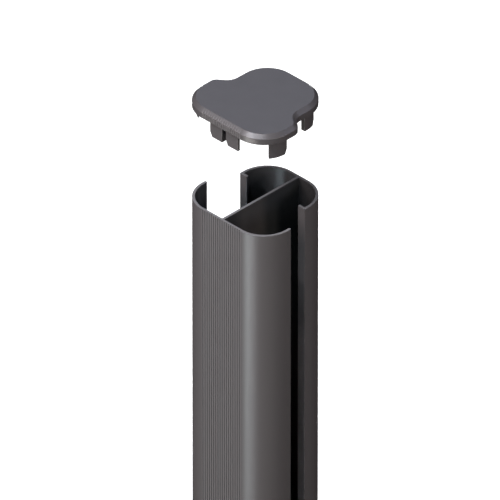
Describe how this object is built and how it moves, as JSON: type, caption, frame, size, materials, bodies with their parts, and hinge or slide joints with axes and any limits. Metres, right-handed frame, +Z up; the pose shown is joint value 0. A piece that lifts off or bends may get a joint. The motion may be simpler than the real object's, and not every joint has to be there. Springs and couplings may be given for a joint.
{
  "type": "metal fence post",
  "caption": "Upright extruded aluminium fence post with an open board slot down each side, a finely ribbed front and a plastic cap lifted off above its top.",
  "frame": {"origin": "on the ground, in the middle of the post's section", "axes": "+Z up the post, +X across the ribbed front to its right side, +Y from the ribbed front to the back"},
  "size_m": [0.08, 0.0734, 1.1293],
  "materials": {
    "powder_coat": "fine satin powder coat, anthracite grey, over extruded aluminium",
    "cap_plastic": "matt moulded plastic, anthracite grey"
  },
  "bodies": {
    "root": {"post_profile": "powder_coat", "top_cap": "cap_plastic"}
  },
  "joints": []
}
